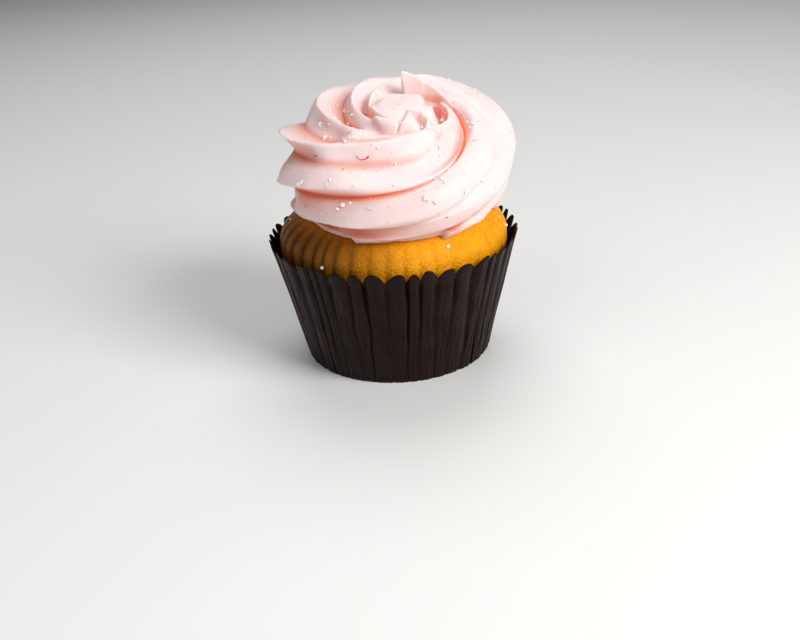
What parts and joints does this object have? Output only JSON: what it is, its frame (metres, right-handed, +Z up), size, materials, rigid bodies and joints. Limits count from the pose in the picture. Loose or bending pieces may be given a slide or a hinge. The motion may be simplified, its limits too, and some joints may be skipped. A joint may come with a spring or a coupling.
{
  "type": "cupcake",
  "caption": "Golden sponge cupcake in a dark pleated paper case, topped with a piped swirl of pink buttercream with sugar crystals.",
  "frame": {"origin": "middle of the case's flat base, on the surface it stands on", "axes": "+Z up through the middle of the cake, +Y to the back, +X to the right as the cake is seen from the front"},
  "size_m": [0.07, 0.07, 0.0772],
  "materials": {
    "paper_case": "dark brown greaseproof paper with a slight sheen",
    "sponge": "golden baked sponge with a fine crumb",
    "frosting": "smooth pale pink buttercream with fine red flecks"
  },
  "bodies": {
    "root": {"paper_case": "paper_case", "sponge": "sponge", "frosting": "frosting"}
  },
  "joints": []
}
